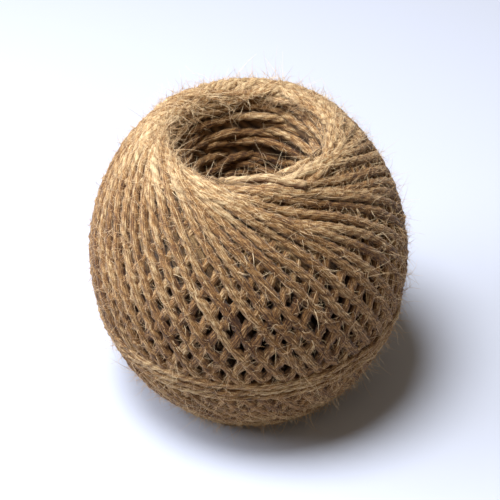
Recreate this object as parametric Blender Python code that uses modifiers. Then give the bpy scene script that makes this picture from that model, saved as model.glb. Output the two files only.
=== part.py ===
"""A ball of jute twine, cross-wound on a spindle that left a pull hole from top to bottom.

Metres, +Z up. The origin is the middle of the foot ring that the ball stands on, so the hole's axis is the Z axis.
The ball is one length of twine, so it is one solid: a turned ring, with the turns' crossings raised on its flank.
"""

import math
from collections import namedtuple

import bmesh
import bpy

MM = 0.001

# The wound form, measured from its middle height.
WAIST_RADIUS = 40.0 * MM  # the widest place, half way up
EGG_HALF_HEIGHT = 46.6 * MM  # where the flank's egg curve would close if the lips did not cut it off
CREST_HEIGHT = 38.2 * MM  # the top of each lip
LIP_OUTER_ROUND = 5.5 * MM  # the lip's rounding on the flank's side
LIP_INNER_ROUND = 3.0 * MM  # and on the hole's side
FOOT_PRESS = 0.8 * MM  # how much the ball's weight flattens the lower lip

# The winding.
TURNS_ROUND = 48  # strands of one direction that a level circle crosses
PIT_DEPTH = 2.2 * MM  # from a crossing down to the gap between four crossings
PIT_FADE_START = 22.0 * MM  # height where the gaps begin to close up, because the strands draw together
PIT_FADE_END = 32.0 * MM  # height where they have closed

# The belt of finishing turns round the flank, under the waist.
BELT_HEIGHT = -12.6 * MM
BELT_HALF_WIDTH = 2.4 * MM
BELT_RISE = 0.9 * MM

# The mouths of the hole: rings of deeper turns, each a step further down and in.
RING_TABLE = (
    # depth under the crest, radius of the hole there
    (5.8 * MM, 17.0 * MM),
    (9.4 * MM, 16.0 * MM),
    (12.6 * MM, 15.2 * MM),
    (16.0 * MM, 14.5 * MM),
)
RING_GROOVE = 1.3 * MM  # how far the gap between two rings runs back into the wall
NECK_RADIUS = 12.5 * MM  # the narrowest place, at middle height

ROUND_STEPS = 2 * TURNS_ROUND  # a crossing and a gap for each strand
OUTER_ARC_STEPS = 3  # straight pieces in the flank's side of a lip's rounding
INNER_ARC_STEPS = 2  # and in the hole's side
INNER_ARC_END = math.radians(165)  # where the lip's rounding meets the hole's wall, from the outward level
HALVINGS = 40
SLICE = 0.05 * MM  # height step when the strand's course is summed up

JUTE_COLOUR = (0.36, 0.22, 0.11, 1.0)

# One row of the turned section: pit is how far its gaps lie under its crossings, and number is even where a strand's
# crossing stands on the X axis and odd where a gap does.
Row = namedtuple("Row", "radius height pit number")


def flank_radius(height):
    return WAIST_RADIUS * math.sqrt(1 - (height / EGG_HALF_HEIGHT) ** 2)


def flank_normal(height):
    """Outward normal of the egg curve, as (radial, vertical)."""
    radial = flank_radius(height) / WAIST_RADIUS**2
    vertical = height / EGG_HALF_HEIGHT**2
    length = math.hypot(radial, vertical)
    return radial / length, vertical / length


def lip_join_height():
    """Height on the flank where a rounding that peaks at the crest touches the egg curve from inside."""
    low, high = 0.0, CREST_HEIGHT
    for _ in range(HALVINGS):
        middle = (low + high) / 2
        if middle - LIP_OUTER_ROUND * flank_normal(middle)[1] < CREST_HEIGHT - LIP_OUTER_ROUND:
            low = middle
        else:
            high = middle
    return low


LIP_JOIN_HEIGHT = lip_join_height()
CREST_RADIUS = flank_radius(LIP_JOIN_HEIGHT) - LIP_OUTER_ROUND * flank_normal(LIP_JOIN_HEIGHT)[0]


def crossing_heights():
    """Heights on the upper flank, from the waist up, of each row of crossings and gaps.

    A strand pulled tight on a turned form keeps its radius times the cosine of its slope the same all along, and it
    lies level where it rounds the lip, so that product is the crest's radius. Two strands that mirror each other
    meet each time both have gone half a strand's share of the circle.
    """
    share = math.pi / TURNS_ROUND
    heights = [0.0]
    turned = 0.0
    height = 0.0
    while height < PIT_FADE_END:
        radius = flank_radius(height)
        slope = -height / EGG_HALF_HEIGHT**2 * WAIST_RADIUS**2 / radius
        run = SLICE * math.hypot(1, slope)
        turned += run * CREST_RADIUS / (radius * math.sqrt(radius**2 - CREST_RADIUS**2))
        height += SLICE
        if turned >= share * len(heights):
            heights.append(height)
    return heights


def pit_depth(height):
    """Depth of the gaps in the row at this height: whole at the waist, and none near the lips."""
    fade = (PIT_FADE_END - abs(height)) / (PIT_FADE_END - PIT_FADE_START)
    return PIT_DEPTH * min(max(fade, 0.0), 1.0)


def flank_rows():
    """The flank's rows from the upper lip down to the lower one, with the belt in place of the row that it covers."""
    upper = list(enumerate(crossing_heights()))
    lower = [(number, -height) for number, height in upper[1:]]
    rows = []
    for number, height in [*reversed(upper), *lower]:
        if abs(height - BELT_HEIGHT) > BELT_HALF_WIDTH:
            rows.append(Row(flank_radius(height), height, pit_depth(height), number))
            continue
        for edge in (BELT_HEIGHT + BELT_HALF_WIDTH, BELT_HEIGHT - BELT_HALF_WIDTH):
            rows.append(Row(flank_radius(edge) + BELT_RISE, edge, 0.0, number))
    return rows


def lip_arc(round_radius, start, end, steps):
    """Points (radius, height) on one half of the upper lip's rounding, its two ends included."""
    centre_height = CREST_HEIGHT - round_radius
    angles = [start + (end - start) * step / steps for step in range(steps + 1)]
    return [
        (CREST_RADIUS + round_radius * math.cos(angle), centre_height + round_radius * math.sin(angle))
        for angle in angles
    ]


def mouth_points():
    """Points (radius, height) from the flank's top, over the upper lip and down the rings of the hole's mouth."""
    normal = flank_normal(LIP_JOIN_HEIGHT)
    outer_arc_start = math.atan2(normal[1], normal[0])
    outer_arc = lip_arc(LIP_OUTER_ROUND, outer_arc_start, math.pi / 2, OUTER_ARC_STEPS)
    inner_arc = lip_arc(LIP_INNER_ROUND, math.pi / 2, INNER_ARC_END, INNER_ARC_STEPS)
    points = outer_arc + inner_arc[1:]
    depth_before = CREST_HEIGHT - points[-1][1]
    radius_before = points[-1][0]
    for depth, radius in RING_TABLE:
        groove_radius = (radius_before + radius) / 2 + RING_GROOVE
        points.append((groove_radius, CREST_HEIGHT - (depth_before + depth) / 2))
        points.append((radius, CREST_HEIGHT - depth))
        depth_before, radius_before = depth, radius
    return points


def turned_rows():
    """All rows of the closed section, down the flank and up through the hole, with heights from the foot plane.

    Rows of the lower lip that would pass through the foot plane are pressed flat onto it.
    """
    mouth = mouth_points()
    through_hole = [(radius, -height) for radius, height in mouth]
    through_hole += [(NECK_RADIUS, 0.0)]
    through_hole += list(reversed(mouth))
    rows = flank_rows() + [Row(radius, height, 0.0, 0) for radius, height in through_hole]
    to_foot = CREST_HEIGHT - FOOT_PRESS
    return [row._replace(height=max(row.height + to_foot, 0.0)) for row in rows]


def turn_section(rows):
    """An object that is the section turned round the Z axis by a Screw modifier."""
    mesh = bpy.data.meshes.new("twine_section")
    count = len(rows)
    points = [(row.radius, 0.0, row.height) for row in rows]
    mesh.from_pydata(points, [(i, (i + 1) % count) for i in range(count)], [])
    row_index = mesh.attributes.new("row_index", "INT", "POINT")
    row_index.data.foreach_set("value", range(count))
    section = bpy.data.objects.new("twine_section", mesh)
    bpy.context.scene.collection.objects.link(section)
    screw = section.modifiers.new("turn", "SCREW")
    screw.axis = "Z"
    screw.angle = 2 * math.pi
    screw.steps = ROUND_STEPS
    screw.render_steps = ROUND_STEPS
    screw.use_merge_vertices = True
    screw.merge_threshold = 0.01 * MM
    return section


def wind_lattice(mesh, rows):
    """Gives the turned flank its crossings and gaps, which alternate round each row and from row to row.

    Each gap moves in along its normal, and each quad between four of them is cut from crossing to crossing, so that
    the ridge across it runs along a strand.
    """
    shape = bmesh.new()
    shape.from_mesh(mesh)
    shape.normal_update()
    row_layer = shape.verts.layers.int["row_index"]
    row_of = {vertex: rows[vertex[row_layer]] for vertex in shape.verts}

    def is_crossing(vertex):
        column = round(math.atan2(vertex.co.y, vertex.co.x) * ROUND_STEPS / (2 * math.pi))
        return (column + row_of[vertex].number) % 2 == 0

    for face in list(shape.faces):
        numbers = {row_of[vertex].number for vertex in face.verts}
        if max(numbers) - min(numbers) == 1:
            crossings = [vertex for vertex in face.verts if is_crossing(vertex)]
            bmesh.utils.face_split(face, crossings[0], crossings[1])
    moves = {
        vertex: -vertex.normal * row_of[vertex].pit for vertex in shape.verts if not is_crossing(vertex)
    }
    for vertex, move in moves.items():
        vertex.co += move
    shape.to_mesh(mesh)
    shape.free()


def jute_material():
    """Natural jute: a dry, matt bast fibre."""
    material = bpy.data.materials.new("jute")
    material.use_nodes = True
    shader = material.node_tree.nodes["Principled BSDF"]
    shader.inputs["Base Color"].default_value = JUTE_COLOUR
    shader.inputs["Roughness"].default_value = 0.9
    shader.inputs["Metallic"].default_value = 0.0
    return material


def make_ball(collection):
    rows = turned_rows()
    section = turn_section(rows)
    turned = section.evaluated_get(bpy.context.evaluated_depsgraph_get())
    mesh = bpy.data.meshes.new_from_object(turned)
    bpy.data.objects.remove(section)
    mesh.name = "twine_ball"
    wind_lattice(mesh, rows)
    mesh.shade_smooth()
    mesh.materials.append(jute_material())
    ball = bpy.data.objects.new("twine_ball", mesh)
    collection.objects.link(ball)
    return ball


def main():
    for old in list(bpy.data.objects):
        bpy.data.objects.remove(old)
    collection = bpy.data.collections.new("ball_of_twine")
    bpy.context.scene.collection.children.link(collection)
    make_ball(collection)


main()
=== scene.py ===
# %% [markdown]
# # A ball of jute twine
#
# One length of spun jute, wound crosswise on a spindle that has been drawn out, so a pull hole runs
# through the ball. This lesson builds what the eye meets: the dark wound mass inside, two layers of
# strands that really lie over each other, the belt of finishing turns, the rings of older turns down
# the hole, and the loose fibres. Everything is placed by the frame, in metres, with the ball's foot
# on the floor at the origin.

# %% Load the frame
import math
from collections import namedtuple
from functools import partial

import bpy
import numpy as np
from mathutils import Matrix, Vector


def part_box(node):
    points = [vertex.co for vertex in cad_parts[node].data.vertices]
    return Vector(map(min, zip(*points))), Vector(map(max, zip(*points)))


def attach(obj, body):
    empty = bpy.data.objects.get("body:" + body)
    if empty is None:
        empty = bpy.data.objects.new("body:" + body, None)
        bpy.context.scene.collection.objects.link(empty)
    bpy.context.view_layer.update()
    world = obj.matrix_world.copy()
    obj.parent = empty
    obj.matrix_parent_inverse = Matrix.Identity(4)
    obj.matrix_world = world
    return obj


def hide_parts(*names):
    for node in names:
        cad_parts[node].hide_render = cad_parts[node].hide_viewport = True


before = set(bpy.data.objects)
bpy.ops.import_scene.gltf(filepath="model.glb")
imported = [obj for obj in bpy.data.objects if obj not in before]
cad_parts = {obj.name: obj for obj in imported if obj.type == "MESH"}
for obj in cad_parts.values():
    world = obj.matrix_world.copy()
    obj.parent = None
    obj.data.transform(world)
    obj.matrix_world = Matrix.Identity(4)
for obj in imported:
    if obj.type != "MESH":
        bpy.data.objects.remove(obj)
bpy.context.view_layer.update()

MM = 0.001
dice = np.random.default_rng(48)

# %% [markdown]
# ## The size of the ball
#
# The frame gives the box of the plain solid that the ball replaces. From here on lengths are in
# millimetres and heights are taken from the waist, the widest place, because the ball is the same
# above it and below it. Its foot lip is pressed a little flat by the ball's own weight.

# %% Size of the ball
box_low, box_high = (np.array(corner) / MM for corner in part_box("twine_ball"))
FOOT_PRESS = 0.8
WAIST_RADIUS = (box_high[0] - box_low[0]) / 2
CREST = (box_high[2] - box_low[2] + FOOT_PRESS) / 2
WAIST_HEIGHT = box_high[2] - CREST
print("waist radius", round(WAIST_RADIUS, 2), "crest", round(CREST, 2))
print("the waist is at", round(WAIST_HEIGHT, 2))

# %% [markdown]
# ## The wound form
#
# A strand can only lie on the surface of what is wound already, so that surface comes first: an
# egg-shaped flank, a rounded lip, and the wall of the hole. It could be a mesh, but a table is easier
# to ask: for a distance along the section it says how far out, how high, and which way is outward.

# %% Section of the wound form
EGG_HALF_HEIGHT = 46.6
LIP_ROUND_OUT, LIP_ROUND_IN = 5.5, 3.0
LIP_IN_END = math.radians(165)
LIP_SEARCH_FROM, LIP_SEARCH_STEPS = 30, 4000
# Each ring of older turns in the mouth: its depth under the lip, and the radius of the hole there.
MOUTH_RINGS = ((5.8, 17.0), (9.4, 16.0), (12.6, 15.2), (16.0, 14.5), (19.5, 13.9), (23.0, 13.4))


def flank_radius(height):
    return WAIST_RADIUS * np.sqrt(1 - (height / EGG_HALF_HEIGHT) ** 2)


def flank_slope(height):
    """Angle of the flank's outward normal over the level."""
    return np.arctan2(height / EGG_HALF_HEIGHT**2, flank_radius(height) / WAIST_RADIUS**2)


heights = np.linspace(LIP_SEARCH_FROM, CREST, LIP_SEARCH_STEPS)
lip_gap = (heights - LIP_ROUND_OUT * np.sin(flank_slope(heights))) - (CREST - LIP_ROUND_OUT)
lip_join = heights[np.argmax(lip_gap > 0)]
crest_radius = flank_radius(lip_join) - LIP_ROUND_OUT * np.cos(flank_slope(lip_join))
print("the lip starts at", round(lip_join, 2), "and its crest has radius", round(crest_radius, 2))

# %% Outline of the section
TABLE_FOOT = -22.0  # height at which the table starts, well under the belt
FLANK_STEPS, LIP_STEPS = 400, 40
flank = np.linspace(TABLE_FOOT, lip_join, FLANK_STEPS)
outer = np.linspace(flank_slope(lip_join), math.pi / 2, LIP_STEPS)[1:]
inner = np.linspace(math.pi / 2, LIP_IN_END, LIP_STEPS)[1:]


def lip_round(rounding, angles):
    """Radii and heights on the lip, which is rounded by this much, at these angles over the level."""
    radii = crest_radius + rounding * np.cos(angles)
    return np.stack([radii, CREST + rounding * (np.sin(angles) - 1)], axis=1)


outline = np.concatenate([
    np.stack([flank_radius(flank), flank], axis=1),
    lip_round(LIP_ROUND_OUT, outer),
    lip_round(LIP_ROUND_IN, inner),
    np.array([(radius, CREST - depth) for depth, radius in MOUTH_RINGS]),
])
print("outline of", len(outline), "points")

# %% Table along the section
TABLE_STEP = 0.35
TILT_REACH = 3  # steps over which the outward direction is smoothed


def smoothed(values, reach):
    """A running mean whose weights fall off to both sides, with the ends held."""
    weights = np.exp(-0.5 * (np.arange(-3 * reach, 3 * reach + 1) / reach) ** 2)
    held = np.pad(values, 3 * reach, mode="edge")
    return np.convolve(held, weights / weights.sum(), mode="valid")


gone = np.concatenate([[0], np.cumsum(np.hypot(*np.diff(outline, axis=0).T))])
gone -= np.interp(0.0, outline[:FLANK_STEPS, 1], gone[:FLANK_STEPS])
along = np.arange(math.ceil(gone[0] / TABLE_STEP), gone[-1] / TABLE_STEP) * TABLE_STEP
form_radius = np.interp(along, gone, outline[:, 0])
form_height = np.interp(along, gone, outline[:, 1])
tilt = np.unwrap(np.arctan2(np.gradient(form_height), np.gradient(form_radius))) - math.pi / 2
tilt = smoothed(tilt, TILT_REACH)
form_out, form_up = np.cos(tilt), np.sin(tilt)
form_taper = np.gradient(form_radius, TABLE_STEP)
lip_start = np.interp(crest_radius + LIP_ROUND_OUT, form_radius[::-1], along[::-1])
crest_place = np.interp(-crest_radius, -form_radius, along)
print("the section runs from", round(along[0], 1), "to", round(along[-1], 1), "mm")
print("the lip is rounded from", round(lip_start, 1), "and its crest is at", round(crest_place, 1))

# %% [markdown]
# ## The course of one turn
#
# A strand pulled tight on a turned form takes the shortest way, and then its distance from the axis
# times the cosine of its slope stays the same all along. So it climbs the flank, lies level where it
# rounds the lip, and comes down on the far side. A curve drawn by hand would look slack or cut
# corners; stepping the shortest-way rule from the turning point outwards gives the real course.

# %% One arch over the lip
COURSE_STEP = 0.25
LEAST_TAPER = -0.02  # starts a strand down the flank from the lip, which has no taper of its own


def half_arch(turn_radius, lowest):
    """Places along the section and angles turned, from the rounding of the lip to the lowest place."""
    place = np.interp(-turn_radius, -form_radius, along)
    turned, speed = 0.0, 0.0
    places, angles = [place], [0.0]
    while place > lowest:
        radius = np.interp(place, along, form_radius)
        taper = np.interp(place, along, form_taper)
        speed += COURSE_STEP * min(taper, LEAST_TAPER) * turn_radius**2 / radius**3
        place += COURSE_STEP * speed
        turned += COURSE_STEP * turn_radius / radius**2
        places.append(place)
        angles.append(turned)
    return np.array(places), np.array(angles)


for turn_radius in (18.2, 20.8, 23.4):
    places, angles = half_arch(turn_radius, -14)
    sweep = round(math.degrees(angles[-1]), 1)
    print("turning at", turn_radius, "it sweeps", sweep, "degrees in", len(places) * COURSE_STEP, "mm")

# %% [markdown]
# ## How the turns are spread
#
# Forty-eight arches go round each lip, a share of the circle apart. They don't all round it at the
# same radius, because a machine walks them in and out to build the lip. Each arch is stretched to the
# same sweep, so that the strands keep their spacing at the waist and the gaps between them line up in
# rows. The arches of the two lips meet under the belt, which hides their ends. The belt itself is a
# little askew.

# %% Belt line and spread
TURNS = 48
SHARE = 2 * math.pi / TURNS
BELT_HEIGHT, BELT_TILT, BELT_DROP = -12.6, 0.01, 0.02  # the last two are slopes
STRAND_STEP = 0.9
JOIN_OVERLAP = 2.2  # how far a turn runs on under the belt


def belt_line(azimuth):
    """Height of the belt's middle, a little higher on the -X side and lower in front."""
    askew = BELT_TILT * np.cos(azimuth) - BELT_DROP * np.sin(azimuth)
    return BELT_HEIGHT - WAIST_RADIUS * askew


def wander(count, wavelength):
    """A smooth random line of this many steps, about as high as 1."""
    steps = np.arange(count) * STRAND_STEP
    waves = [
        np.sin(2 * math.pi * steps / (wavelength * stretch) + dice.uniform(0, 2 * math.pi))
        for stretch in dice.uniform(0.6, 1.8, 4)
    ]
    return np.sum(waves, axis=0) / 2


UPPER_SWEEP = half_arch(crest_radius, BELT_HEIGHT)[1][-1]
LOWER_SWEEP = half_arch(crest_radius, -BELT_HEIGHT)[1][-1]
LOWER_SWEEP = round((UPPER_SWEEP + LOWER_SWEEP) / (SHARE / 2)) * SHARE / 2 - UPPER_SWEEP
print("upper half arches sweep", round(math.degrees(UPPER_SWEEP), 2), "degrees")
print("lower half arches sweep", round(math.degrees(LOWER_SWEEP), 2), "degrees")

# %% [markdown]
# ## Where a real winding strays
#
# Round the flank the two directions cross as an open net, and near the lips they crowd side by side.
# Three small departures from the even spread make the ball look wound and not drawn. The lip is
# thicker on one side, so the turns round it further in there. The turns that go round the lip in front
# were dragged back along it as later ones pulled on them, which fans them out. And the under layer
# lies half a share round from the outer one on the shoulder, so that it shows between the outer turns
# there, but nearly in line with them in the net, so that the net stays open.

# %% One arch with its departures
Course = namedtuple("Course", "place azimuth")
ARCH_ENDS = {True: -18.0, False: 7.0}  # how far down an arch of the top, and of the foot, is followed
REFERENCE_ARCH = {upper: half_arch(crest_radius, ARCH_ENDS[upper]) for upper in (True, False)}
LIP_REACH = 15.0  # how far from where it rounds the lip a strand has joined its neighbours' spacing
SWAY_LENGTH = 22
NET_HEIGHTS = (-32.0, -24.0, 10.0, 22.0)  # the net lies between the middle two of these heights
DRAG, DRAG_AZIMUTH, DRAG_WIDTH, DRAG_REACH = 0.25, math.radians(-90), math.radians(55), 16.0


def net_share(height):
    """One where the turns cross as an open net, and nought near the lips."""
    return np.interp(height, NET_HEIGHTS, (0, 1, 1, 0))


def drag_at(middle):
    """Angle by which the turns that round the lip near its -Y side were dragged back along it."""
    off = (middle - DRAG_AZIMUTH + math.pi) % (2 * math.pi) - math.pi
    return DRAG * math.exp(-((off / DRAG_WIDTH) ** 2))


def arch_course(middle, inward, upper, sway, drag, between):
    """One arch, sampled evenly along its length and cut off under the belt.

    It rounds the lip this far inward, sways this much, is dragged by this angle at the lip, and lies
    this angle further round wherever it is not part of the net.
    """
    places, angles = REFERENCE_ARCH[upper]
    sweep, meets = (UPPER_SWEEP, BELT_HEIGHT) if upper else (LOWER_SWEEP, -BELT_HEIGHT)
    angles = angles * sweep / np.interp(-meets, -places, angles)
    places = places + inward * np.exp(-(((places[0] - places) / LIP_REACH) ** 2))
    both_places = np.concatenate([places[:0:-1], places])
    both_angles = np.concatenate([-angles[:0:-1], angles])
    both_angles -= drag * np.exp(-(((both_places.max() - both_places) / DRAG_REACH) ** 2))
    length = (len(both_places) - 1) * COURSE_STEP
    samples = np.linspace(0, length, round(length / STRAND_STEP) + 1)
    track = np.arange(len(both_places)) * COURSE_STEP
    place = np.interp(samples, track, both_places)
    height = np.interp(place, along, form_height) * (1 if upper else -1)
    azimuth = middle + np.interp(samples, track, both_angles) + between * (1 - net_share(height))
    radius = np.interp(place, along, form_radius)
    place = place + sway * wander(len(place), SWAY_LENGTH)
    azimuth = azimuth + sway * wander(len(place), SWAY_LENGTH) / radius
    height = np.interp(place, along, form_height) * (1 if upper else -1)
    kept = (height - belt_line(azimuth)) * (1 if upper else -1) > -JOIN_OVERLAP
    return Course(place[kept], azimuth[kept])


print("net from", NET_HEIGHTS[1], "to", NET_HEIGHTS[2], "mm, drag", DRAG, "radians in front")

# %% Arches of one layer
LIP_SHIFT, LIP_SHIFT_AZIMUTH = 4.8, math.radians(110)
UNDER_SHIFT = 0.9 / 40  # angle by which the under turns are off the outer ones in the net
WALK_MIDDLE, WALK, WALK_TURNS = 0.4, 1.7, 5.33  # the machine walks in and out over this many turns
WALK_STRAY, SPACING_STRAY = 0.6, 0.35


def layer_courses(upper, shift, sway, lip_shift):
    """The arches of one layer round one lip, in the order in which they are laid."""
    courses = []
    for turn in range(TURNS):
        if upper:
            middle = math.pi / 2 - SHARE * (turn + 1)
        else:
            middle = math.pi / 2 + SHARE * (turn + 1) + (UPPER_SWEEP + LOWER_SWEEP) % SHARE
        inward = WALK_MIDDLE + WALK * math.sin(2 * math.pi * turn / WALK_TURNS)
        inward += dice.uniform(-WALK_STRAY, WALK_STRAY)
        inward += lip_shift * math.cos(middle - LIP_SHIFT_AZIMUTH)
        middle += shift + dice.normal(0, SPACING_STRAY) / WAIST_RADIUS
        drag = drag_at(middle) if upper and lip_shift else 0.0
        between = 0.0 if lip_shift else SHARE / 2 - UNDER_SHIFT
        courses.append(arch_course(middle, inward, upper, sway, drag, between))
    return courses


print(TURNS, "turns,", round(SHARE * WAIST_RADIUS, 2), "mm apart at the waist")

# %% [markdown]
# ## Laying the turns on each other
#
# Where strands cross, one rides over the other, and the look of the ball is in that weave. A physics
# run of forty metres of twine would be slow and never the same twice. Laying is simpler: a height map
# of the form is kept, each strand in turn rests on it like a taut string, never lower than what it
# touches, and then leaves its own height on the map for the next one.

# %% Rest one strand on the pile
TOUCH_RADIUS = 0.74
LIP_TOUCH = 0.38  # the many strands that round the lip are squeezed into each other
LIP_SQUEEZED_FROM, FLANK_FREE_FROM = 24.0, 32.0  # radii
COLUMNS = 720
COLUMN = 2 * math.pi / COLUMNS
SETTLE_ROUNDS = 160
MOST_BEND = 0.02
ROWS_ABOUT, COLUMNS_ABOUT = np.arange(-3, 4), np.arange(-7, 8)


def on_form(place, azimuth, upper, offset=0.0):
    """Points this far outside the form, and the outward direction there."""
    side = 1 if upper else -1
    out, up = np.interp(place, along, form_out), np.interp(place, along, form_up)
    radius = np.interp(place, along, form_radius) + offset * out
    height = np.interp(place, along, form_height) + offset * up
    points = [radius * np.cos(azimuth), radius * np.sin(azimuth), side * height]
    outward = [out * np.cos(azimuth), out * np.sin(azimuth), side * up]
    return np.stack(points, axis=-1), np.stack(outward, axis=-1)


def rest_on(pile, course):
    """Heights of the strand's middle line over the form, once it is pulled tight over the pile."""
    row = np.round((course.place - along[0]) / TABLE_STEP).astype(int)
    column = np.round(course.azimuth / COLUMN).astype(int)
    rows = np.clip(row[:, None, None] + ROWS_ABOUT[None, :, None], 0, len(along) - 1)
    columns = column[:, None, None] + COLUMNS_ABOUT[None, None, :]
    radius = np.interp(course.place, along, form_radius)[:, None, None]
    up_gap = along[rows] - course.place[:, None, None]
    round_gap = (columns * COLUMN - course.azimuth[:, None, None]) * radius
    touch = np.interp(radius, [LIP_SQUEEZED_FROM, FLANK_FREE_FROM], [LIP_TOUCH, TOUCH_RADIUS])
    room = touch**2 - up_gap**2 - round_gap**2
    rows, columns = np.broadcast_arrays(rows, columns % COLUMNS)
    touching = room > 0
    rise = np.sqrt(np.maximum(room, 0))
    least = np.where(touching, pile[rows, columns] + rise, 0).max(axis=(1, 2))
    points, outward = on_form(course.place, course.azimuth, True)
    bend = np.zeros(len(points))
    bend[1:-1] = -np.sum((points[:-2] - 2 * points[1:-1] + points[2:]) * outward[1:-1], axis=1)
    bend = np.clip(bend, 0, MOST_BEND) / 2
    height = least.copy()
    for _ in range(SETTLE_ROUNDS):
        pulled = (height[:-2] + height[2:]) / 2 - bend[1:-1]
        height[1:-1] = np.maximum(least[1:-1], pulled)
    tops = (height[:, None, None] + rise)[touching]
    np.maximum.at(pile, (rows[touching], columns[touching]), tops)
    return height


print("height map of", len(along), "by", COLUMNS)

# %% Level of the strands' tops
LEVEL_REACH = 3.0
LEVEL_POWER, LEVEL_LIFT = 8, 1.10


def level_of(pile):
    """The smooth surface that the tops of the pile reach, as a map like the pile.

    A mean of high powers is led by the tops and hardly by the gaps, and a wide blur keeps single
    strands out of it.
    """
    strong = pile**LEVEL_POWER
    waves = np.arange(COLUMNS // 2 + 1)
    fade = np.exp(-0.5 * (waves[None, :] * LEVEL_REACH / form_radius[:, None]) ** 2)
    strong = np.fft.irfft(np.fft.rfft(strong, axis=1) * fade, COLUMNS, axis=1)
    reach = round(LEVEL_REACH / TABLE_STEP)
    strong = np.apply_along_axis(smoothed, 0, np.maximum(strong, 0), reach)
    return LEVEL_LIFT * np.maximum(strong, 1e-9) ** (1 / LEVEL_POWER)


def level_at(upper, place, azimuth):
    """The level under a strand."""
    level = levels[upper]
    row = np.clip((place - along[0]) / TABLE_STEP, 0, len(along) - 1.001)
    column = azimuth / COLUMN
    low_row, low_column = row.astype(int), np.floor(column).astype(int)
    down, round_share = row - low_row, column - low_column
    left, right = low_column % COLUMNS, (low_column + 1) % COLUMNS
    low = level[low_row, left] * (1 - round_share) + level[low_row, right] * round_share
    high = level[low_row + 1, left] * (1 - round_share) + level[low_row + 1, right] * round_share
    return low * (1 - down) + high * down


print("level blurred over", LEVEL_REACH, "mm")

# %% Wind two layers round each lip
Turn = namedtuple("Turn", "course height upper outer")
OUTER_SWAY, UNDER_SWAY = 0.20, 0.3
turns = []
levels = {}
for upper in (True, False):
    pile = np.zeros((len(along), COLUMNS))
    for course in layer_courses(upper, UNDER_SHIFT, UNDER_SWAY, 0.0):
        turns.append(Turn(course, rest_on(pile, course), upper, False))
    for course in layer_courses(upper, 0.0, OUTER_SWAY, LIP_SHIFT):
        turns.append(Turn(course, rest_on(pile, course), upper, True))
    levels[upper] = level_of(pile)
    lowest, highest = levels[upper].min().round(1), levels[upper].max().round(1)
    print("top" if upper else "foot", "level from", lowest, "to", highest)
metres = sum(len(turn.height) for turn in turns) * STRAND_STEP / 1000
print(len(turns), "turns,", round(metres, 1), "metres of strand")

# %% [markdown]
# ## Making strands of points into twine
#
# Each strand becomes a tube. Jute twine is three plies twisted together, so its section is a trefoil
# rather than a circle, and the trefoil turns as it goes along. A curve with a bevel could carry that
# section, but hundreds of curves are slow to turn into meshes and lose the flat foot, so one function
# places the rings of points itself and joins many strands in one mesh. It also lays a UV map along
# the strand, in millimetres, for the streaks of the fibres. Two numbers go to each point for the
# colour: how pale the strand is there, and how much painted shade it gets, in a valley between plies
# or on a side that lies against the next strand.

# %% Section of the twine
STRAND_RADIUS = 1.24
LAY_LENGTH = 9.0
PLY = np.array([0.79, 0.955, 1.025, 0.955])  # radii of one ply of the trefoil, from its valley round
Strand = namedtuple("Strand", "points outward")


def ring_factors(sides, count, step, turned_by):
    """How far out each point of each ring is, for three plies that turn once in a lay length."""
    around = np.arange(sides) / sides
    phase = turned_by + np.arange(count) * step / LAY_LENGTH
    where = (around[None, :] + phase[:, None]) * 3 % 1 * len(PLY)
    first = where.astype(int)
    share = where - first
    return PLY[first % 4] * (1 - share) + PLY[(first + 1) % 4] * share


def frames_along(strand):
    """For each point of a strand, its outward direction and the one across."""
    course = np.gradient(strand.points, axis=0)
    course /= np.linalg.norm(course, axis=1, keepdims=True)
    lengthwise = np.sum(strand.outward * course, axis=1, keepdims=True) * course
    outward = strand.outward - lengthwise
    outward /= np.linalg.norm(outward, axis=1, keepdims=True)
    return outward, np.cross(course, outward)


print("strands of radius", STRAND_RADIUS, "mm, with a twist every", LAY_LENGTH, "mm")

# %% Faces and maps of a tube
STRIP_MARGIN = 0.06


def ring_quads(start, count, sides):
    """Faces between the rings of a tube whose points are numbered from start."""
    ring, side = start + np.arange(count - 1)[:, None] * sides, np.arange(sides)[None, :]
    here, beside = ring + side, ring + (side + 1) % sides
    return np.stack([beside, beside + sides, here + sides, here], axis=-1).reshape(-1, 4)


def end_caps(tubes, sides):
    """The two faces that close each tube."""
    caps, start = [], 0
    for points in tubes:
        caps.append(list(range(start + sides - 1, start - 1, -1)))
        caps.append(list(range(start + len(points) - sides, start + len(points))))
        start += len(points)
    return caps


def lay_map(run, sides):
    """Map places of each face's corners: millimetres along the strand, and share of the way round."""
    shape = (len(run) - 1, sides)
    low, high = (np.broadcast_to(ends[:, None], shape) for ends in (run[:-1], run[1:]))
    left, right = (np.broadcast_to((np.arange(sides) + next_one) / sides, shape) for next_one in (0, 1))
    corners = [(low, right), (high, right), (high, left), (low, left)]
    return np.stack([np.stack(corner, axis=-1) for corner in corners], axis=2).reshape(-1, 2)


def strip_map(lay, length, number, count):
    """The same strand as one strip of a square that many strands share, without overlap."""
    strip = (number + STRIP_MARGIN + (1 - 2 * STRIP_MARGIN) * lay[:, 1]) / count
    return np.stack([(lay[:, 0] - lay[:, 0].min()) / length, strip], axis=1)


print("each strip keeps a margin of", STRIP_MARGIN)


# %% New piece of points and faces
def pressed(height):
    """Heights over the floor, with what would be under it squeezed flat just above it."""
    squeezed = FOOT_PRESS * np.exp(np.minimum(height / FOOT_PRESS, 1) - 1)
    return np.where(height < FOOT_PRESS, squeezed, height)


def new_piece(name, points, faces):
    """A smooth object of points given in millimetres from the waist, with its foot pressed flat."""
    points[:, 2] = pressed(points[:, 2] + WAIST_HEIGHT)
    mesh = bpy.data.meshes.new(name)
    mesh.from_pydata((points * MM).tolist(), [], faces)
    mesh.shade_smooth()
    piece = bpy.data.objects.new(name, mesh)
    bpy.context.scene.collection.objects.link(piece)
    return piece


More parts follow.
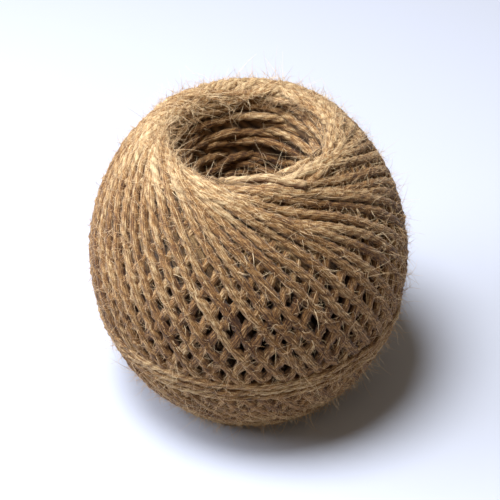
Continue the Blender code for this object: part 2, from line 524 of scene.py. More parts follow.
def add_numbers(piece, name, values):
    """Gives each point of a piece a number, for its material to read."""
    attribute = piece.data.attributes.new(name, "FLOAT", "POINT")
    attribute.data.foreach_set("value", values.astype(np.float32))


print("a strand laid on the floor is pressed within", FOOT_PRESS, "mm of it")

# %% [markdown]
# ## Uneven, darker in the net, paler on the lips
#
# Spun jute is thick here and thin there, and its skin is rough, so each ring of points is jittered.
# Its colour changes slowly along its length. On top of that, the open net is painted darker, as the
# shade of its deep gaps with a little dust, and the turns over the lips are paler. A strand in the net
# also looks thicker, because nothing squeezes it from the side.

# %% Twine maker
UNEVEN = 0.065  # how rough the fibres make a strand, as a share of the radius
SWELL, SWELL_LENGTH = 0.06, 14
TONE_SPREAD, TONE_SWING, TONE_SWING_LENGTH = 0.24, 0.4, 30
MAP_SPREAD = 900  # millimetres by which the streaks of two strands may differ
LIP_HEIGHTS = (29.0, 36.0)  # the turns get paler between these heights
# Painted shade: a strand's sides past this cosine from outward, and the valleys between its plies.
SHADE_FROM, SHADE_OVER = 0.5, 0.9  # cosine from outward past which a strand lies against the next
PLY_SHADE, PLY_DEPTH, NEIGHBOUR_SHADE = 0.75, 0.24, 0.9


def tone_along(strand, paler, dust_and_shade, lip_paler):
    """How pale a strand is at each point. Nought is the middle."""
    tone = paler + dice.normal(0, TONE_SPREAD)
    tone = tone + TONE_SWING * wander(len(strand.points), TONE_SWING_LENGTH)
    # Painted shade with a little dust: darker in the open net.
    tone -= dust_and_shade * net_share(strand.points[:, 2])
    # Paler over the lips.
    tone += lip_paler * np.interp(abs(strand.points[:, 2]), LIP_HEIGHTS, (0, 1))
    return tone


def make_twine(name, strands, sides, radius, step, paler=0.0, plump=0.0, dust_and_shade=0.0, lip_paler=0.0):
    """One object of many strands: each a closed tube of twisted plies.

    Paler is one number or one for each strand. Plump thickens them in the net, the next number
    darkens them there, painted shade with a little dust, and the last pales them over the lips.
    """
    tubes, faces, lay, strip, tone, valley = [], [], [], [], [], []
    start = 0
    longest = max(len(strand.points) for strand in strands)
    angle = 2 * math.pi * np.arange(sides) / sides + math.pi
    side_painted_shade = np.clip((SHADE_FROM - np.cos(angle)) / SHADE_OVER, 0, 1)
    paler = np.broadcast_to(paler, len(strands))
    for number, strand in enumerate(strands):
        count = len(strand.points)
        outward, across = frames_along(strand)
        factors = ring_factors(sides, count, step, dice.integers(12) / 12)
        thick = radius * (1 + SWELL * wander(count, SWELL_LENGTH))[:, None] * factors
        thick *= 1 + dice.normal(0, UNEVEN, (count, sides))
        thick *= 1 + plump * net_share(strand.points[:, 2])[:, None]
        ring = outward[:, None, :] * np.cos(angle)[None, :, None]
        ring = ring + across[:, None, :] * np.sin(angle)[None, :, None]
        points = strand.points[:, None, :] + ring * thick[:, :, None]
        tubes.append(points.reshape(-1, 3))
        faces.append(ring_quads(start, count, sides))
        run = dice.uniform(0, MAP_SPREAD) + np.arange(count) * step
        lay.append(lay_map(run, sides))
        strip.append(strip_map(lay[-1], longest * step, number, len(strands)))
        tone.append(np.repeat(tone_along(strand, paler[number], dust_and_shade, lip_paler), sides))
        # Painted shade in the ply valleys and on the sides that lie against the next strand.
        shade = PLY_SHADE * (1.0 - factors) / PLY_DEPTH + NEIGHBOUR_SHADE * side_painted_shade
        valley.append(np.clip(shade, 0, 1).reshape(-1))
        start += count * sides
    quads, caps = np.concatenate(faces), end_caps(tubes, sides)
    piece = new_piece(name, np.concatenate(tubes), quads.tolist() + caps)
    for map_name, values in (("lay", lay), ("OFBake", strip)):
        layer = piece.data.uv_layers.new(name=map_name)
        flat = np.concatenate([*values, np.zeros((len(caps) * sides, 2))]).astype(np.float32)
        layer.uv.foreach_set("vector", flat.reshape(-1))
    add_numbers(piece, "tone", np.concatenate(tone))
    add_numbers(piece, "valley", np.concatenate(valley))
    print(name, 2 * len(quads) + len(caps) * (sides - 2), "triangles")
    return piece


# %% [markdown]
# ## The outer and under turns
#
# The laying gave each turn a height over the form. Real strands bite into each other where they
# cross, so the heights are brought closer together, and they are counted down from the level of the
# tops, so that the ball keeps its size however many strands lie over each other. In the open net they
# are pressed nearly flat together, as a net under tension is, and less so on the -X side. The under
# turns are brought up to show between the outer ones, but not on the lips. Under the belt everything
# dips a little.

# %% Middle line of a laid turn
DEEPEST_ON_LIP, DEEPEST_IN_MOUTH, ANY_DEPTH = -4.5, -2.4, -20
DEEPEST_PLACES = (lip_start - 8, lip_start, crest_place, crest_place + 1.5)
DEEPEST_THERE = (ANY_DEPTH, DEEPEST_ON_LIP, DEEPEST_ON_LIP, DEEPEST_IN_MOUTH)
MOST_PROUD = 0.35  # how far a strand may stand out past the form
PRESSED = 0.78  # how far apart crossing strands stand, as a share of their own thickness
NET_PRESSED, SIDE_PRESSED = 0.35, 0.7
SIDE_REACH = (math.radians(35), math.radians(75))  # angles from -X between which that changes
UNDER_PRESSED, UNDER_UP_TO = 0.45, (28.0, 34.0)
BELT_DIP, BELT_DIP_REACH = 0.85, 4.0


def resampled(points, outward, step):
    """The same strand with its points this far apart."""
    gone = np.arange(len(points)) * STRAND_STEP
    at = np.linspace(0, gone[-1], round(gone[-1] / step) + 1)
    parts = ([np.interp(at, gone, part[:, i]) for i in range(3)] for part in (points, outward))
    return Strand(*(np.stack(part, axis=1) for part in parts))


def turn_strand(turn, step):
    """Middle line of a laid turn, with the tops of the outermost turns on the form's surface."""
    place, azimuth = turn.course
    height = np.interp(place, along, form_height) * (1 if turn.upper else -1)
    net = net_share(height)
    if turn.outer:
        from_side = abs(azimuth % (2 * math.pi) - math.pi)
        in_net = np.interp(from_side, SIDE_REACH, (SIDE_PRESSED, NET_PRESSED))
        apart = PRESSED + (in_net - PRESSED) * net
    else:
        close = np.interp(abs(height), UNDER_UP_TO, (UNDER_PRESSED, PRESSED))
        apart = close + (PRESSED - close) * net
    offset = apart * (turn.height - level_at(turn.upper, place, azimuth))
    offset = offset - (STRAND_RADIUS - TOUCH_RADIUS)
    deepest = np.interp(place, DEEPEST_PLACES, DEEPEST_THERE)
    offset = np.clip(offset, deepest, -STRAND_RADIUS + MOST_PROUD)
    offset -= BELT_DIP * np.exp(-(((height - belt_line(azimuth)) / BELT_DIP_REACH) ** 2))
    points, outward = on_form(place, azimuth, turn.upper, offset)
    if step == STRAND_STEP:
        return Strand(points, outward)
    return resampled(points, outward, step)


def chosen(upper, outer_layer, step):
    laid = [turn for turn in turns if turn.upper == upper and turn.outer == outer_layer]
    return [turn_strand(turn, step) for turn in laid]


top_strands = chosen(True, True, STRAND_STEP)
foot_strands = chosen(False, True, STRAND_STEP)
print(len(top_strands), "outer turns at the top and", len(foot_strands), "at the foot")

# %% Outer and under turns
OUTER_SIDES, UNDER_SIDES = 10, 6
UNDER_STEP = 1.5
NET_PLUMP = 0.14
# How much the net is darkened, painted shade with a little dust, on the outer and under turns.
OUTER_DUST_AND_SHADE, LIP_PALER, UNDER_DUST_AND_SHADE = 0.3, 0.8, 1.3
outer_turns = [
    make_twine(
        name, strands, OUTER_SIDES, STRAND_RADIUS, STRAND_STEP,
        plump=NET_PLUMP, dust_and_shade=OUTER_DUST_AND_SHADE, lip_paler=LIP_PALER,
    )
    for name, strands in (
        ("outer_turns_1", top_strands[: TURNS // 2]),
        ("outer_turns_2", top_strands[TURNS // 2 :]),
        ("outer_turns_foot", foot_strands),
    )
]
under_turns = [
    make_twine(
        name, chosen(upper, False, UNDER_STEP), UNDER_SIDES, STRAND_RADIUS, UNDER_STEP,
        dust_and_shade=UNDER_DUST_AND_SHADE,
    )
    for name, upper in (("under_turns", True), ("under_turns_foot", False))
]

# %% [markdown]
# ## The belt of finishing turns
#
# When the ball is full the machine runs a few level turns round it to lock the winding, and tucks the
# end under them. They lie under the waist, a little askew, and press into the crossings below.

# %% Belt
BELT_TURNS, BELT_PITCH = 3, 2.3
BELT_START = math.radians(70)
BELT_PROUD, BELT_INWARD = 0.7, 0.97  # mm past the form, and its radius as a share of the waist's
BELT_STRAY, BELT_STRAY_LENGTH = 0.22, 30
BELT_BUMPS, BELT_BUMP_LENGTH = 0.15, 9
TUCK_LENGTH, TUCK_ASIDE, TUCK_UNDER = 9, 2.2, 3.4


def belt_strand():
    """One strand that runs round three times, with both ends tucked under."""
    count = round(2 * math.pi * WAIST_RADIUS * BELT_INWARD * BELT_TURNS / STRAND_STEP)
    share = np.linspace(0, 1, count)
    azimuth = BELT_START + 2 * math.pi * BELT_TURNS * share
    height = belt_line(azimuth) + BELT_PITCH * BELT_TURNS * (0.5 - share)
    height = height + BELT_STRAY * wander(count, BELT_STRAY_LENGTH)
    in_sight = np.clip(np.minimum(share, 1 - share) * count * STRAND_STEP / TUCK_LENGTH, 0, 1)
    in_sight = in_sight * in_sight * (3 - 2 * in_sight)
    height += (1 - in_sight) * np.where(share < 0.5, -TUCK_ASIDE, TUCK_ASIDE)
    offset = BELT_PROUD - STRAND_RADIUS + BELT_BUMPS * wander(count, BELT_BUMP_LENGTH)
    offset = offset - TUCK_UNDER * (1 - in_sight)
    crest = np.argmax(form_height)
    place = np.interp(height, form_height[:crest], along[:crest])
    return Strand(*on_form(place, azimuth, True, offset))


belt_turn = belt_strand()
# Painted light: the belt is made paler than the other turns, for the light it catches.
belt = make_twine("belt_turns", [belt_turn], OUTER_SIDES, STRAND_RADIUS, STRAND_STEP, paler=0.7)

# %% [markdown]
# ## The rings down the mouth
#
# Looking into the hole you see the lips of older, smaller windings, one ring of level strands under
# the other. Each ring is a handful of strands that touch the hole's wall at one place and run
# straight off into the ball on both sides. Only the part at the wall shows, so each is a short
# straight piece and not a full turn. Near the lip they face up, so their painted side shade lies
# underneath and they look lit; further down they face the axis, and their colour is painted darker
# with depth, as shade. The hole drifts a little sideways as it goes down.

# %% One ring after another
ARCS_ROUND = 17
ARC_HALF = math.radians(40)
ARC_OFF_WALL, ARC_BACK = 0.95, 1.3  # share of a strand's radius, and up to this many mm more
ARC_STRAY, ARC_UP_DOWN = 0.06, 1.6
ARC_SAG = 0.6
ARC_SLOPE, ARC_SLOPE_STRAY = 1.5, 1.2
ARC_OUT_WANDER, ARC_UP_WANDER, ARC_WANDER_LENGTH = 0.15, 0.2, 14
# Which way a ring strand faces also sets where its painted side shade lies.
FACE_UP, FACE_UP_NEAR_LIP = 0.3, 4.5  # the second is divided by the depth
HOLE_LEAN, MOST_LEAN = 0.15, 2.0  # towards +X, as when the spindle was drawn out askew


def lean_of(depth):
    return np.minimum(HOLE_LEAN * depth, MOST_LEAN)


def mouth_arcs(rings, step):
    """Short strands that touch the wall of the hole at these depths and radii."""
    strands = []
    for depth, radius in rings:
        first = dice.uniform(0, 2 * math.pi)
        for arc in range(ARCS_ROUND):
            nearest = radius + STRAND_RADIUS * ARC_OFF_WALL + dice.uniform(0, ARC_BACK)
            count = round(2 * nearest * math.tan(ARC_HALF) / step)
            turned = np.arctan(np.linspace(-math.tan(ARC_HALF), math.tan(ARC_HALF), count))
            azimuth = first + arc * 2 * math.pi / ARCS_ROUND + turned + dice.normal(0, ARC_STRAY)
            out = nearest / np.cos(turned) + ARC_OUT_WANDER * wander(count, ARC_WANDER_LENGTH)
            drop = ARC_SAG * (out - nearest) + dice.uniform(-ARC_UP_DOWN, ARC_UP_DOWN)
            height = CREST - depth - drop + dice.normal(ARC_SLOPE, ARC_SLOPE_STRAY) * turned
            height = height + ARC_UP_WANDER * wander(count, ARC_WANDER_LENGTH)
            across = out * np.cos(azimuth) + lean_of(CREST - height)
            points = np.stack([across, out * np.sin(azimuth), height], axis=1)
            middle = azimuth[count // 2]
            up = FACE_UP + FACE_UP_NEAR_LIP / depth
            facing = np.array([-math.cos(middle), -math.sin(middle), up])
            facing = np.tile(facing / np.linalg.norm(facing), (count, 1))
            strands.append(Strand(points, facing))
    return strands


def turned_over(strands):
    """The same strands at the other end of the ball."""
    flip = np.array([1, -1, -1])
    return [Strand(strand.points * flip, strand.outward * flip) for strand in strands]


print(ARCS_ROUND, "strands in each ring, the hole drifts", MOST_LEAN, "mm")

# %% Mouth rings
RING_UNDER_LIP = (3.0, 18.0)
DEEP_RINGS = ((26.6, 13.2), (30.0, 13.0), (33.5, 12.9), (36.8, 12.8))
# Painted shade down the hole: mouth strands start this much paler and darken with depth.
MOUTH_PALE, DEEP_SHADE, SHADE_DEPTH, MOST_SHADE = 0.9, 1.7, 23.0, 1.2
MOUTH_STEP, ROUGH_STEP = 0.9, 1.5
top_rings = (RING_UNDER_LIP, *MOUTH_RINGS)
mouth_strands = mouth_arcs(top_rings, MOUTH_STEP)
foot_arcs = turned_over(mouth_arcs((*top_rings, *DEEP_RINGS), ROUGH_STEP))
deep_arcs = mouth_arcs(DEEP_RINGS, ROUGH_STEP)


def painted_shade_down(strands):
    """How pale each of these strands is: the deeper the darker, as painted shade down the hole."""
    depths = np.array([CREST - abs(strand.points[:, 2]).mean() for strand in strands])
    return MOUTH_PALE - DEEP_SHADE * np.clip(depths / SHADE_DEPTH, 0, MOST_SHADE)


mouth = [
    make_twine(name, strands, sides, STRAND_RADIUS, step, painted_shade_down(strands))
    for name, strands, sides, step in (
        ("mouth_turns", mouth_strands, OUTER_SIDES, MOUTH_STEP),
        ("mouth_turns_foot", foot_arcs, UNDER_SIDES, ROUGH_STEP),
        ("mouth_turns_deep", deep_arcs, UNDER_SIDES, ROUGH_STEP),
    )
]

# %% [markdown]
# ## The wound mass inside
#
# Between the strands the eye falls on older windings in deep shade. They could be wound too, but only
# a few dark specks of them show, so this is one solid: a ball cut off at both lips, with the hole
# bored through it and opened towards its mouths, a little behind the rings.

# %% Core
CORE_RADIUS, CORE_HALF_HEIGHT, CORE_CUT = 34.8, 45.0, 31.0
BORE_CUTS = 9
WALL_BEHIND = 2.0
MIDDLE_BORE = 12.5


def deselect_all():
    if bpy.context.mode != "OBJECT":
        bpy.ops.object.mode_set(mode="OBJECT")
    bpy.ops.object.select_all(action="DESELECT")


def bore_radius(height):
    """Radius of the hole's wall behind the rings, at a height over or under the waist."""
    heights = [0, *[CREST - depth for depth, _ in MOUTH_RINGS][::-1]]
    radii = [MIDDLE_BORE, *[radius for _, radius in MOUTH_RINGS][::-1]]
    return np.interp(abs(height), heights, radii) + WALL_BEHIND


deselect_all()
bpy.ops.mesh.primitive_uv_sphere_add(
    segments=64, ring_count=40, radius=1.0, location=(0, 0, WAIST_HEIGHT * MM),
    scale=(CORE_RADIUS * MM, CORE_RADIUS * MM, CORE_HALF_HEIGHT * MM),
)
core = bpy.context.object
core.name = "inner_windings"
bpy.ops.object.transform_apply(location=True, rotation=True, scale=True)
bpy.ops.object.mode_set(mode="EDIT")
for side in (1, -1):
    bpy.ops.mesh.select_all(action="SELECT")
    bpy.ops.mesh.bisect(
        plane_co=(0, 0, (WAIST_HEIGHT + side * CORE_CUT) * MM), plane_no=(0, 0, side),
        use_fill=True, clear_outer=True,
    )
bpy.ops.object.mode_set(mode="OBJECT")
print("core before boring:", len(core.data.polygons), "faces")


# %% Bore the core
def select_faces(piece, test):
    """Selects only the faces that pass the test, from object mode."""
    for face in piece.data.polygons:
        face.select = bool(test(face))
    for edge in piece.data.edges:
        edge.select = False
    for vertex in piece.data.vertices:
        vertex.select = False


def is_cap(face):
    return abs(face.normal.z) > 0.99 and len(face.vertices) > 8


bpy.ops.object.mode_set(mode="EDIT")
bpy.ops.mesh.select_mode(type="FACE")
bpy.ops.mesh.select_all(action="DESELECT")
bpy.ops.object.mode_set(mode="OBJECT")
select_faces(core, is_cap)
cap_radius = CORE_RADIUS * math.sqrt(1 - (CORE_CUT / CORE_HALF_HEIGHT) ** 2)
bpy.ops.object.mode_set(mode="EDIT")
bpy.ops.mesh.inset(thickness=(cap_radius - bore_radius(CORE_CUT)) * MM)
bpy.ops.mesh.bridge_edge_loops(number_cuts=BORE_CUTS)
bpy.ops.mesh.select_all(action="SELECT")
bpy.ops.mesh.normals_make_consistent(inside=False)
bpy.ops.object.mode_set(mode="OBJECT")
print("core after boring:", len(core.data.polygons), "faces")

# %% Open the bore towards its mouths
BORE_MARGIN = 0.3
widest = (bore_radius(CORE_CUT) + BORE_MARGIN) * MM
on_wall = [vertex for vertex in core.data.vertices if math.hypot(*vertex.co.xy) < widest]
for vertex in on_wall:
    height = vertex.co.z / MM - WAIST_HEIGHT
    factor = bore_radius(height) * MM / math.hypot(vertex.co.x, vertex.co.y)
    vertex.co.x = vertex.co.x * factor + lean_of(CREST - abs(height)) * MM
    vertex.co.y *= factor
deselect_all()
core.select_set(True)
bpy.context.view_layer.objects.active = core
bpy.ops.object.shade_smooth_by_angle(angle=math.radians(40))
print(len(on_wall), "points of the bore moved")

# %% [markdown]
# ## Loose fibres
#
# Jute is never clean: the ends of its fibres stand off every strand, pale and thin. Particle hair
# would not reach the exported mesh, so each fibre is a thin three-sided thorn, bent a little,
# thousands of them joined in one mesh. Most lie close along the strand, some stand off, and long ones
# reach across the mouth. They only grow where a strand is near the outside, because deeper ones would
# never be seen.

# %% Fibre maker
TIP_LOSS = 0.75  # share of its thickness that a fibre loses towards the tip


def make_fibres(name, roots, first_way, then_way, lengths, radii, rings):
    """Thorns that start at roots, leave along first_way and bend towards then_way."""
    count = len(roots)
    share = np.linspace(0, 1, rings)
    bent = share[None, :, None] / 2
    way = first_way[:, None, :] * (1 - bent) + then_way[:, None, :] * bent
    line = roots[:, None, :] + way * share[None, :, None] * lengths[:, None, None]
    course = np.gradient(line, axis=1)
    course /= np.linalg.norm(course, axis=2, keepdims=True)
    helper = np.where(np.abs(course[..., 2:]) < 0.8, [0.0, 0.0, 1.0], [1.0, 0.0, 0.0])
    across = np.cross(course, helper)
    across /= np.linalg.norm(across, axis=2, keepdims=True)
    over = np.cross(course, across)
    angle = 2 * math.pi * np.arange(3)[:, None] / 3
    thin = radii[:, None] * (1 - TIP_LOSS * share[None, :])
    ring = across[:, :, None, :] * np.cos(angle) + over[:, :, None, :] * np.sin(angle)
    points = (line[:, :, None, :] + ring * thin[:, :, None, None]).reshape(-1, 3)
    start = np.arange(count)[:, None, None] * rings * 3
    step = np.arange(rings - 1)[None, :, None] * 3
    here, beside = start + step + np.arange(3), start + step + (np.arange(3) + 1) % 3
    quads = np.stack([here, beside, beside + 3, here + 3], axis=-1).reshape(-1, 4)
    root_caps = (start[:, 0] + np.array([2, 1, 0])).reshape(-1, 3)
    tip_caps = (start[:, 0] + (rings - 1) * 3 + np.array([0, 1, 2])).reshape(-1, 3)
    piece = new_piece(name, points, quads.tolist() + root_caps.tolist() + tip_caps.tolist())
    add_numbers(piece, "tone", np.repeat(dice.normal(0, 1, count), rings * 3))
    print(name, count, "fibres,", 2 * len(quads) + 2 * count, "triangles")
    return piece


# %% Where fibres grow
FRAY_PLACES = (lip_join - 6, lip_join + 6)
FRAY_DEPTHS = (3.2, 1.6)  # how deep under the level a strand still frays, at those two places
MOUTH_FRAY_DEPTHS = (2.4, 2.4)
outer_laid = [turn for turn in turns if turn.outer]
outer_strands = top_strands + foot_strands


def frayed(depths, from_place, fewest):
    """The parts of the outer turns, from a place along the section on, that lie no deeper than this."""
    parts = []
    for turn, strand in zip(outer_laid, outer_strands, strict=True):
        place = turn.course.place
        deepest = level_at(turn.upper, *turn.course) - np.interp(place, FRAY_PLACES, depths)
        near = (turn.height > deepest) & (place > from_place)
        if near.sum() > fewest:
            parts.append(Strand(strand.points[near], strand.outward[near]))
    return parts


outermost = frayed(FRAY_DEPTHS, -math.inf, 12)
mouth_edge = frayed(MOUTH_FRAY_DEPTHS, crest_place - 3.0, 4)
print(len(outermost), "strands fray outside and", len(mouth_edge), "round the mouth")

# %% How fibres lie
SIDE_SPREAD = 1.1  # radians from outward
ROOT_AT = 0.85  # share of the strand's radius at which a fibre starts
LENGTH_SPREAD, SHORTEST, LONGEST_SHARE = 0.5, 0.8, 2.3
STRAY, STRAY_FIRST, STRAY_THEN = 0.35, 1.5, 4.0
FIBRE_RADII = (0.038, 0.062)


def unit(vectors):
    return vectors / np.linalg.norm(vectors, axis=-1, keepdims=True)


def fibre_starts(strands, count):
    """Random places on the outer side of these strands, with the strand's own direction there."""
    points = np.concatenate([strand.points[1:-1] for strand in strands])
    ways = np.concatenate([np.gradient(strand.points, axis=0)[1:-1] for strand in strands])
    outs = np.concatenate([strand.outward[1:-1] for strand in strands])
    pick = dice.integers(0, len(points), count)
    ways, outs = unit(ways[pick]), unit(outs[pick])
    across = np.cross(ways, outs)
    side = dice.uniform(-SIDE_SPREAD, SIDE_SPREAD, (count, 1))
    leaning = outs * np.cos(side) + across * np.sin(side)
    roots = points[pick] + leaning * STRAND_RADIUS * ROOT_AT
    return roots, ways * dice.choice([-1, 1], (count, 1)), leaning


def scatter(strands, count, mean_length, lift):
    """Roots, directions and lengths of fibres on these strands. More lift makes them stand off."""
    roots, ways, outs = fibre_starts(strands, count)
    lengths = dice.lognormal(math.log(mean_length), LENGTH_SPREAD, count)
    lengths = np.clip(lengths, SHORTEST, LONGEST_SHARE * mean_length)
    stand = dice.gamma(2.0, lift / 2, (count, 1))
    stray = dice.normal(0, STRAY, (count, 3))
    first = unit(ways + outs * stand + stray * STRAY_FIRST)
    then = unit(ways + outs * stand * dice.uniform(-0.9, 1.0, (count, 1)) + stray * STRAY_THEN)
    return roots, first, then, lengths


def fibre_piece(name, clumps, rings):
    roots, firsts, thens, lengths = (np.concatenate(part) for part in zip(*clumps, strict=True))
    radii = dice.uniform(*FIBRE_RADII, len(roots))
    return make_fibres(name, roots, firsts, thens, lengths, radii, rings)


fibres = [
    fibre_piece("loose_fibres", [scatter(outermost, count=14000, mean_length=1.7, lift=1.2)], 3),
    fibre_piece("long_fibres", [
        scatter(outermost, count=7200, mean_length=3.4, lift=1.0),
        scatter([belt_turn], count=500, mean_length=2.6, lift=0.5),
        scatter(mouth_strands, count=1100, mean_length=3.4, lift=0.7),
    ], 4),
    fibre_piece("mouth_fibres", [
        scatter(mouth_edge + mouth_strands[:ARCS_ROUND], count=2400, mean_length=4.5, lift=0.7),
    ], 4),
]

# %% [markdown]
# ## Colours
#
# Colours are picked as they look on a screen, in sRGB hex, and shaders work in linear light, so one
# function turns one into the other. Another adds a node with its settings and links, which keeps the
# materials short to read.


# %% Colour and node helpers
def linear(hex_colour):
    """The linear RGBA of an sRGB hex colour."""
    shares = [int(hex_colour[i : i + 2], 16) / 255 for i in (1, 3, 5)]
    return (*[s / 12.92 if s <= 0.04045 else ((s + 0.055) / 1.055) ** 2.4 for s in shares], 1.0)


def add_node(material, kind, settings=None, links=None):
    """A new node. Settings name its properties or else its inputs; links name inputs."""
    node = material.node_tree.nodes.new(kind)
    for name, value in (settings or {}).items():
        if hasattr(node, str(name)):
            setattr(node, name, value)
        else:
            node.inputs[name].default_value = value
    for name, socket in (links or {}).items():
        material.node_tree.links.new(socket, node.inputs[name])
    return node


def new_material(name, finish):
    """A material whose shader has these numbers and colours."""
    material = bpy.data.materials.new(name)
    material.use_nodes = True
    shader = material.node_tree.nodes["Principled BSDF"]
    for input_name, value in finish.items():
        shader.inputs[input_name].default_value = value
    print("material", name)
    return material, shader


# %% [markdown]
# ## Spun jute
#
# Jute is a bast fibre, spun dry and left matt. Its strands are straw brown with paler and darker
# fibres side by side, so the colour comes from streaks that run along the strand, four millimetres
# long and from a third of a millimetre wide downwards, and from slow changes along the length. A
# tangled noise half a millimetre across breaks the streaks up, as the fuzz does. Most real fibres are
# finer than that and would not show, so they are drawn coarser. The valleys between the plies and
# the sides against the next strand are darkened, painted shade with a little dust. Fibres scatter
# light at grazing angles, which is the sheen.

# %% Spun jute material
STREAK_LENGTH, STREAKS_ROUND = 4.0, 26.0  # mm, and how many fit round a strand
TANGLE_SIZE, TANGLE_SHARE = 0.5, 0.55
TONE_SHARE = 0.12
DARK_AT, MIDDLE_AT, LIGHT_AT = 0.60, 0.78, 1.0
MATT_FIBRE = {
    "Roughness": 0.78, "Specular IOR Level": 0.35,
    "Sheen Weight": 0.14, "Sheen Roughness": 0.4, "Sheen Tint": linear("#fff2dc"),
}


def spun_jute(name, dark, middle, light, valley_shade):
    """Streaky matt jute, from its darkest fibres to its lightest, with painted shade in the valleys."""
    material, shader = new_material(name, MATT_FIBRE)
    add = partial(add_node, material)
    lay = add("ShaderNodeUVMap", {"uv_map": "lay"})
    lengthwise = add(
        "ShaderNodeMapping", {"Scale": (1 / STREAK_LENGTH, STREAKS_ROUND, 1)},
        {"Vector": lay.outputs["UV"]},
    )
    streaks = add(
        "ShaderNodeTexNoise", {"Scale": 1.0, "Detail": 3.0, "Roughness": 0.6},
        {"Vector": lengthwise.outputs[0]},
    )
    place = add("ShaderNodeTexCoord")
    tangle = add(
        "ShaderNodeTexNoise",
        {"Scale": 1 / (TANGLE_SIZE * MM), "Detail": 2.0, "Roughness": 0.65, "Distortion": 1.6},
        {"Vector": place.outputs["Object"]},
    )
    fuzz = add(
        "ShaderNodeMath", {"operation": "MULTIPLY_ADD", 1: TANGLE_SHARE},
        {0: tangle.outputs["Fac"], 2: streaks.outputs["Fac"]},
    )
    tone = add("ShaderNodeAttribute", {"attribute_name": "tone"})
    toned = add(
        "ShaderNodeMath", {"operation": "MULTIPLY_ADD", 1: TONE_SHARE},
        {0: tone.outputs["Fac"], 2: fuzz.outputs[0]},
    )
    ramp = add("ShaderNodeValToRGB", links={"Fac": toned.outputs[0]})
    stops = ramp.color_ramp.elements
    stops[0].position, stops[0].color = DARK_AT, linear(dark)
    stops[1].position, stops[1].color = LIGHT_AT, linear(light)
    stops.new(MIDDLE_AT).color = linear(middle)
    # Painted shade: the valley number darkens the colour towards the shade colour.
    valley = add("ShaderNodeAttribute", {"attribute_name": "valley"})
    shaded = add(
        "ShaderNodeMix", {"data_type": "RGBA", "blend_type": "MULTIPLY"},
        {"Factor": valley.outputs["Fac"]},
    )
    links = material.node_tree.links
    links.new(ramp.outputs["Color"], shaded.inputs[6])
    shaded.inputs[7].default_value = linear(valley_shade)
    links.new(shaded.outputs[2], shader.inputs["Base Color"])
    bump = add(
        "ShaderNodeBump", {"Strength": 0.9, "Distance": 0.35 * MM}, {"Height": fuzz.outputs[0]}
    )
    links.new(bump.outputs["Normal"], shader.inputs["Normal"])
    return material


# The last colour is the painted shade in the valleys and on the strands' sides.
jute = spun_jute("spun_jute", "#4a2b11", "#936732", "#d6ba88", "#7c5b36")
for piece in [*outer_turns, belt, mouth[0]]:
    piece.data.materials.append(jute)

# %% [markdown]
# ## Jute in the shade
#
# The under turns and the rings down the hole are the same fibre in a darker, browner copy of its
# colours, painted shade with a little dust, so that the gaps read dark. The solid inside has no
# strands of its own, so its material draws them as bands, in dark colours that paint its shade.

# %% Under turns
shaded_dusty_jute = spun_jute("shaded_dusty_jute", "#432c14", "#7a5b33", "#b4925f", "#6a5233")
for piece in [*under_turns, *mouth[1:]]:
    piece.data.materials.append(shaded_dusty_jute)

# %% Wound mass
BAND_SCALE = 140.0  # bands about 2.6 mm apart, a strand's thickness
shaded_wound_jute, shader = new_material("shaded_wound_jute", {"Roughness": 0.95})
add = partial(add_node, shaded_wound_jute)
where = add("ShaderNodeTexCoord")
bands = add(
    "ShaderNodeTexWave",
    {
        "wave_type": "BANDS", "bands_direction": "DIAGONAL",
        "Scale": BAND_SCALE, "Distortion": 3.0, "Detail": 2.0,
    },
    {"Vector": where.outputs["Object"]},
)
ramp = add("ShaderNodeValToRGB", links={"Fac": bands.outputs["Fac"]})
# Dark colours: painted shade of the deep windings, which show only through the gaps.
ramp.color_ramp.elements[0].color = linear("#3f2d1a")
ramp.color_ramp.elements[1].color = linear("#806240")
bump = add(
    "ShaderNodeBump", {"Strength": 0.8, "Distance": 0.6 * MM}, {"Height": bands.outputs["Fac"]}
)
shaded_wound_jute.node_tree.links.new(ramp.outputs["Color"], shader.inputs["Base Color"])
shaded_wound_jute.node_tree.links.new(bump.outputs["Normal"], shader.inputs["Normal"])
core.data.materials.append(shaded_wound_jute)

# %% [markdown]
# ## Loose fibre
#
# A single fibre is pale, half clear and faintly glossy. It is finer than a render can show, so it is
# drawn about twice as thick, and its colour changes from fibre to fibre.

# %% Loose fibre material
fibre_jute, shader = new_material("loose_jute", {"Roughness": 0.5, "Specular IOR Level": 0.5})
add = partial(add_node, fibre_jute)
tone = add("ShaderNodeAttribute", {"attribute_name": "tone"})
spread = add(
    "ShaderNodeMath", {"operation": "MULTIPLY_ADD", 1: 0.22, 2: 0.5}, {0: tone.outputs["Fac"]}
)
ramp = add("ShaderNodeValToRGB", links={"Fac": spread.outputs[0]})
ramp.color_ramp.elements[0].color = linear("#a8743a")
ramp.color_ramp.elements[1].color = linear("#f4d9a8")
fibre_jute.node_tree.links.new(ramp.outputs["Color"], shader.inputs["Base Color"])
for piece in fibres:
    piece.data.materials.append(fibre_jute)

# %% [markdown]
# ## Tie the pieces to the frame
#
# The ball is one body, so every piece rides on it and stands for the plain solid, which is hidden.

# %% Ride and replace
pieces = [*outer_turns, *under_turns, belt, *mouth, core, *fibres]
for piece in pieces:
    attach(piece, "root")
    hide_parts("twine_ball")
print(len(pieces), "pieces")

# %% [markdown]
# ## Floor, light and camera
#
# A pale floor. The main light is a soft lamp nearly overhead, a little to the left and in front, so
# the shadow falls short, behind and to the right. A weak lamp from the left and the faint, warm
# brightness of a room open up the shaded side.

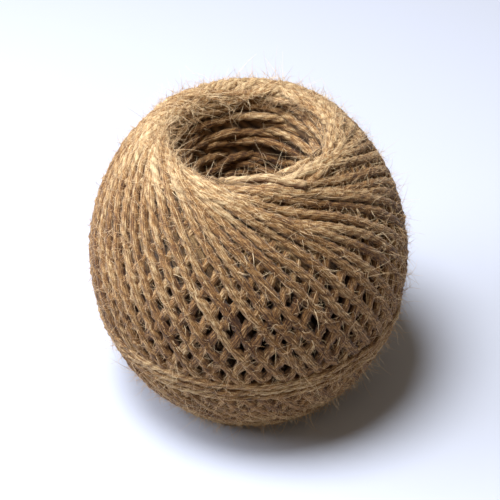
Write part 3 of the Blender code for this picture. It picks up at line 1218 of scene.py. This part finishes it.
# %% Floor
deselect_all()
bpy.ops.mesh.primitive_plane_add(size=6, location=(0, 0, 0))
floor = bpy.context.object
floor.name = "floor"
pale, shader = new_material("pale_floor", {"Base Color": linear("#b8b9bc"), "Roughness": 0.9})
floor.data.materials.append(pale)

# %% Lights
LIT_POINT = (0, 0, 0.035)


def look_at(place, target):
    return (Vector(target) - Vector(place)).to_track_quat("-Z", "Y").to_matrix().to_4x4()


def add_light(name, place, size, power, colour):
    light = bpy.data.lights.new(name, "AREA")
    light.shape = "DISK"
    light.size = size
    light.energy = power
    light.color = linear(colour)[:3]
    lamp = bpy.data.objects.new(name, light)
    lamp.matrix_world = Matrix.Translation(place) @ look_at(place, LIT_POINT)
    bpy.context.scene.collection.objects.link(lamp)
    print("light", name, power, "W")


add_light("key", (-0.125, -0.05, 0.60), size=0.28, power=7.2, colour="#e8efff")
add_light("left_fill", (-0.34, 0.0, 0.30), size=0.32, power=2.5, colour="#e0e9ff")
world = bpy.data.worlds.new("white_room")
bpy.context.scene.world = world
world.use_nodes = True
world.node_tree.nodes["Background"].inputs["Color"].default_value = linear("#fff1e2")
world.node_tree.nodes["Background"].inputs["Strength"].default_value = 0.22
bpy.context.scene.view_settings.view_transform = "Standard"

# %% Camera
CAMERA_ELEVATION, CAMERA_ROLL = math.radians(37), math.radians(-2.5)
CAMERA_DISTANCE, FOCAL_LENGTH = 450.0, 127.2
AIM_ASIDE, AIM_ABOVE_WAIST = 0.4, 0.9
aim = Vector((AIM_ASIDE * MM, 0, (WAIST_HEIGHT + AIM_ABOVE_WAIST) * MM))
away = Vector((0, -math.cos(CAMERA_ELEVATION), math.sin(CAMERA_ELEVATION)))
place = aim + away * CAMERA_DISTANCE * MM
camera_data = bpy.data.cameras.new("camera")
camera_data.lens = FOCAL_LENGTH
camera_data.sensor_width = 36
camera = bpy.data.objects.new("camera", camera_data)
level_view = Matrix.Translation(place) @ look_at(place, aim)
camera.matrix_world = level_view @ Matrix.Rotation(CAMERA_ROLL, 4, "Z")
bpy.context.scene.collection.objects.link(camera)
bpy.context.scene.camera = camera
print("camera at", [round(metres, 3) for metres in place])

# %% Update the scene
bpy.context.view_layer.update()
